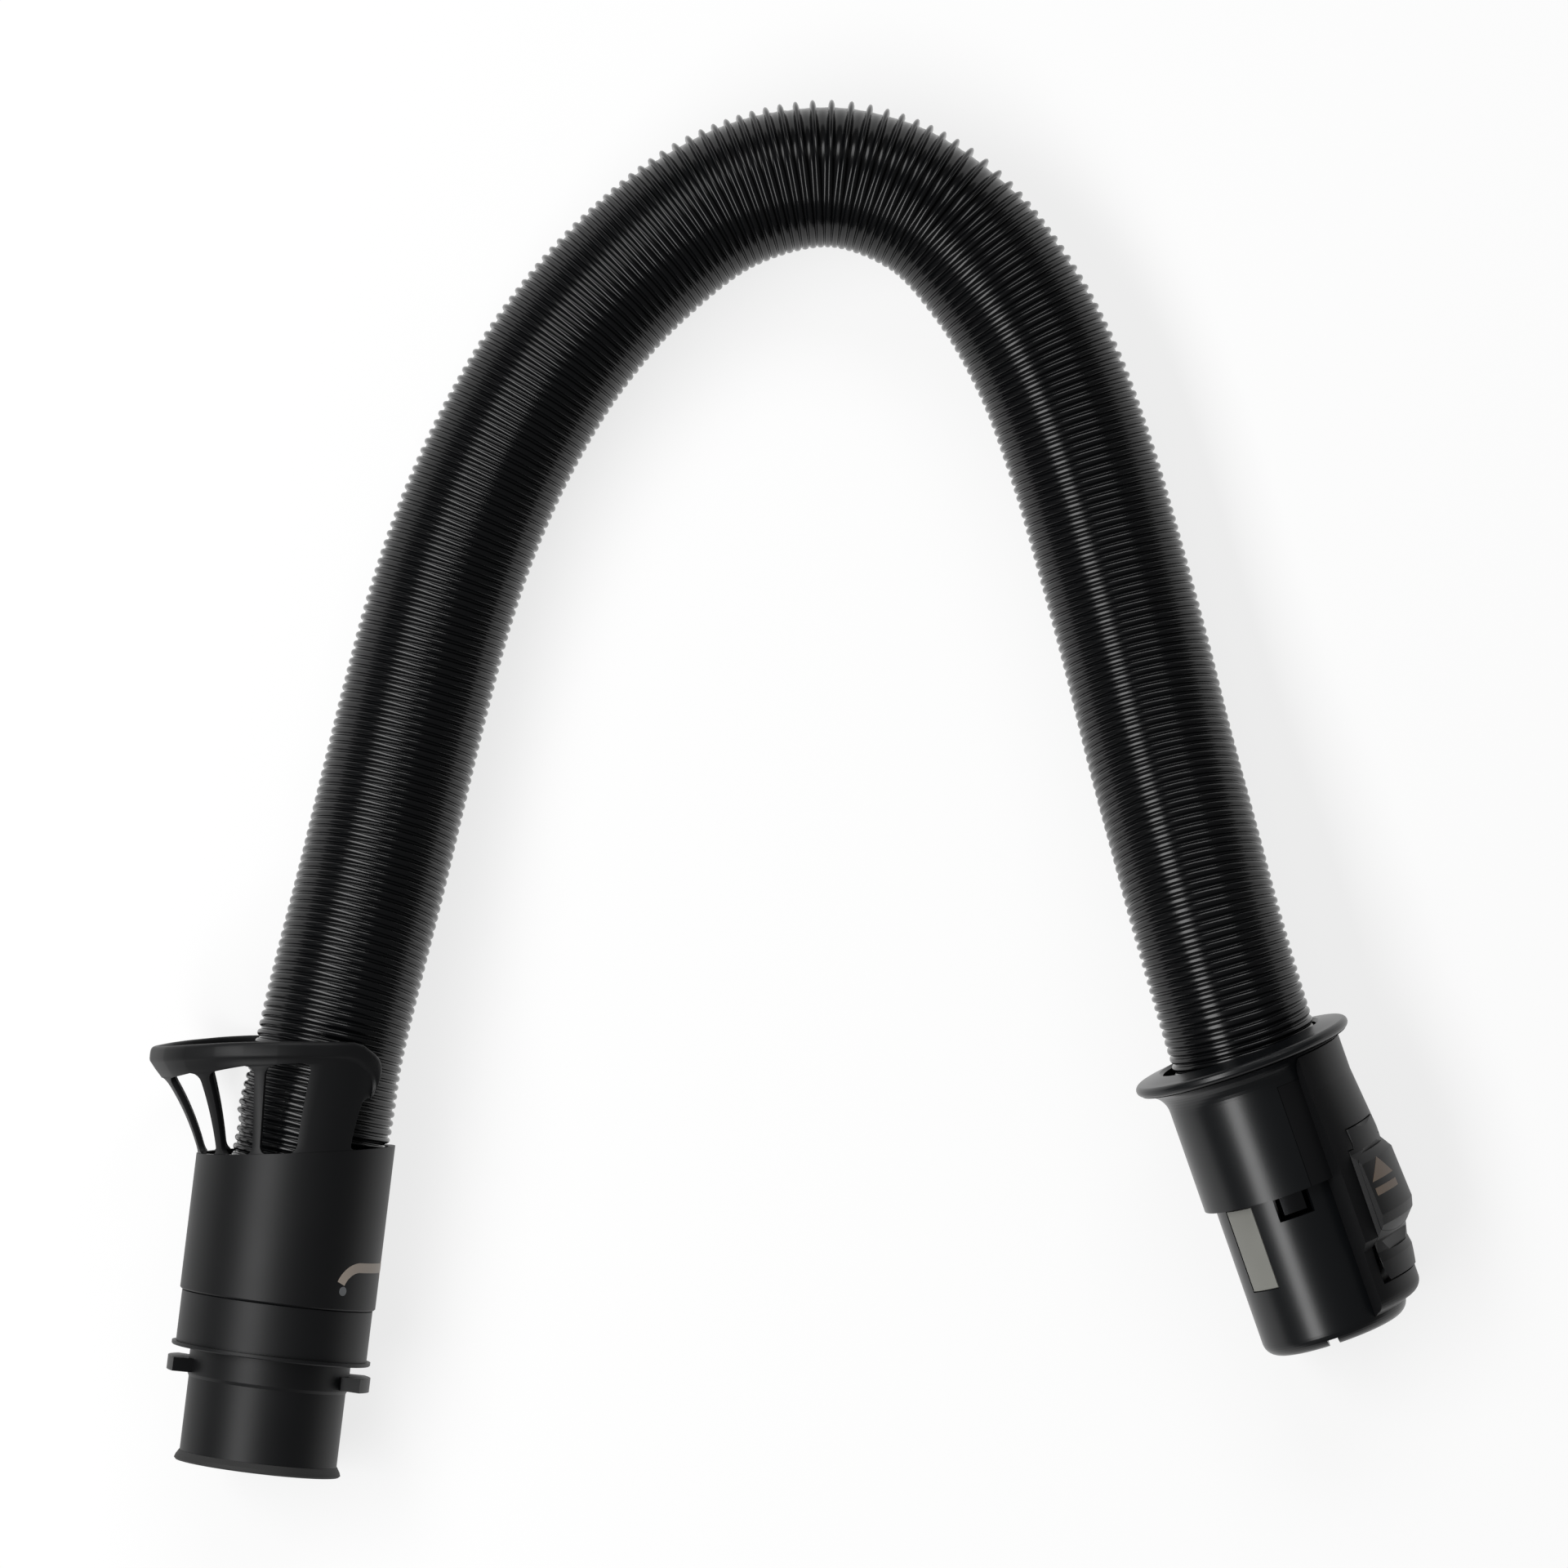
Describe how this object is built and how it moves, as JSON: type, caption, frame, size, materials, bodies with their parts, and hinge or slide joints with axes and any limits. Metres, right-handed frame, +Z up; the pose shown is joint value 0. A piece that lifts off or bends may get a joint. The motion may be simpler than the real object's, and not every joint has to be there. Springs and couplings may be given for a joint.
{
  "type": "vacuum hose",
  "caption": "Ribbed stretch hose lying in an arch, with a twist-lock connector and flared bend guard at the machine end and a flanged connector with a release latch at the wand end.",
  "frame": {"origin": "centre of the machine spigot's mouth, on the machine connector's axis", "axes": "+X from the machine end towards the wand end, +Y towards the crown of the arch, +Z up from the surface that the hose lies on"},
  "size_m": [0.378, 0.4122, 0.0681],
  "materials": {
    "satin_black": "satin moulded plastic",
    "gloss_black": "semi-gloss moulded plastic",
    "latch_black": "semi-gloss moulded plastic",
    "hose_black": "glossy ribbed elastomer",
    "ferrule_black": "matt moulded plastic",
    "seal_rubber": "soft matt rubber",
    "strip_grey": "flat grey strip",
    "clip_steel": "spring steel"
  },
  "bodies": {
    "hose": {"hose_jacket": "hose_black", "machine_hose_ferrule": "ferrule_black", "wand_hose_ferrule": "ferrule_black"},
    "machine_connector": {"spigot": "satin_black", "spigot_lip_seal": "seal_rubber", "lock_collar": "satin_black", "swivel_housing": "satin_black", "bend_guard": "satin_black", "machine_swivel_seal": "seal_rubber", "machine_swivel_clip": "clip_steel"},
    "wand_connector": {"flanged_sleeve": "gloss_black", "latch_housing": "latch_black", "plug_body": "gloss_black", "snap_clips": "clip_steel", "wear_strip": "strip_grey", "wand_swivel_clip": "clip_steel", "wand_swivel_seal": "seal_rubber", "latch_pin": "clip_steel", "latch_spring": "clip_steel"},
    "latch": {"release_latch": "latch_black", "release_button": "latch_black"}
  },
  "joints": [
    {"name": "machine_swivel", "type": "hinge", "parent": "hose", "child": "machine_connector", "pos_m": [0.00593, 0.04829, 0.00212], "axis": [0.1218, 0.9916, 0.0436], "continuous": true},
    {"name": "wand_swivel", "type": "hinge", "parent": "hose", "child": "wand_connector", "pos_m": [0.30228, 0.0963, 0.00109], "axis": [0.3313, -0.9356, -0.1219], "continuous": true},
    {"name": "latch_pivot", "type": "hinge", "parent": "wand_connector", "child": "latch", "pos_m": [0.32603, 0.10031, 0.01438], "axis": [0.4361, 0.2664, -0.8596], "range_deg": [0, 4.5], "stiffness_Nm_per_rad": 0.5, "springref_deg": -8.59, "deforming": ["latch_spring"]}
  ]
}
